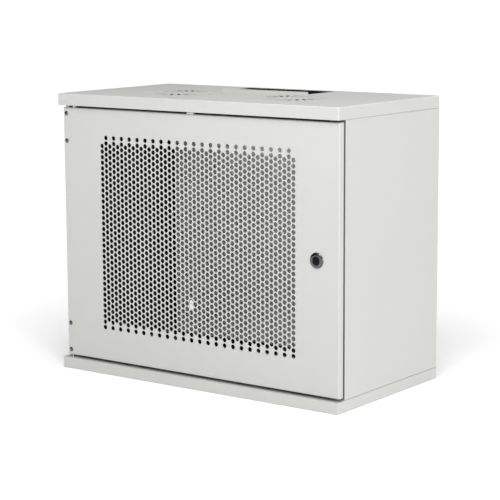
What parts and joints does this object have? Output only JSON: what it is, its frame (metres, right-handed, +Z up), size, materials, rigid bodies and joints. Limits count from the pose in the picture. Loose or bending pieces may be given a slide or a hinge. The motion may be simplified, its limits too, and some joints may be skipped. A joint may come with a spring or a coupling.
{
  "type": "network server rack cabinet",
  "caption": "Wall-mount 19-inch network rack cabinet: folded steel casing, perforated hinged door with a cam lock, rack rails and roof vents.",
  "frame": {"origin": "under the middle of the base", "axes": "+X to the right as seen from the front, +Y to the back, +Z up; the door faces -Y"},
  "size_m": [0.6, 0.315, 0.504],
  "materials": {
    "powder_coat": "satin light grey powder coat with a fine texture",
    "black_steel": "satin black powder coat of the rails and their supports",
    "zinc": "zinc plated steel",
    "chrome": "polished chrome",
    "black_plug": "black lock cylinder",
    "buffer": "light grey plastic"
  },
  "bodies": {
    "cabinet": {"top_cap": "powder_coat", "base_tray": "powder_coat", "left_side_panel": "powder_coat", "right_side_panel": "powder_coat", "rear_panel": "powder_coat", "front_top_member": "powder_coat", "front_bottom_member": "powder_coat", "rack_rail_left": "black_steel", "rack_rail_right": "black_steel", "lower_left_rail_support": "black_steel", "upper_left_rail_support": "black_steel", "lower_right_rail_support": "black_steel", "upper_right_rail_support": "black_steel", "cap_screws": "zinc", "base_screws": "zinc", "rear_panel_screws": "zinc", "rail_bolts": "zinc", "rail_nuts": "zinc", "earth_stud": "zinc", "earth_nut": "zinc"},
    "door": {"door_panel": "powder_coat", "door_stiffener_left": "powder_coat", "door_stiffener_right": "powder_coat", "door_buffers": "buffer", "lower_hinge_bracket": "zinc", "upper_hinge_bracket": "zinc", "lower_hinge_spring": "zinc", "upper_hinge_spring": "zinc", "hinge_rivets": "chrome", "lock_housing": "chrome", "lock_nut": "zinc"},
    "upper_pin": {"upper_hinge_pin": "zinc"},
    "lower_pin": {"lower_hinge_pin": "zinc"},
    "lock": {"lock_cylinder": "black_plug", "lock_cam": "zinc", "cam_screw": "zinc"}
  },
  "joints": [
    {"name": "door_hinge", "type": "hinge", "parent": "cabinet", "child": "door", "pos_m": [-0.2843, -0.1475, 0.2495], "axis": [0, 0, -1], "range_deg": [0, 180]},
    {"name": "lock_turn", "type": "hinge", "parent": "door", "child": "lock", "pos_m": [0.255, -0.15, 0.25], "axis": [0, -1, 0], "range_deg": [0, 90]},
    {"name": "upper_pin_pull", "type": "slide", "parent": "door", "child": "upper_pin", "axis": [0, 0, -1], "range_m": [0, 0.01], "stiffness_N_per_m": 400, "springref_m": -0.006, "deforming": ["upper_hinge_spring"]},
    {"name": "lower_pin_pull", "type": "slide", "parent": "door", "child": "lower_pin", "axis": [0, 0, 1], "range_m": [0, 0.01], "stiffness_N_per_m": 400, "springref_m": -0.006, "deforming": ["lower_hinge_spring"]}
  ]
}
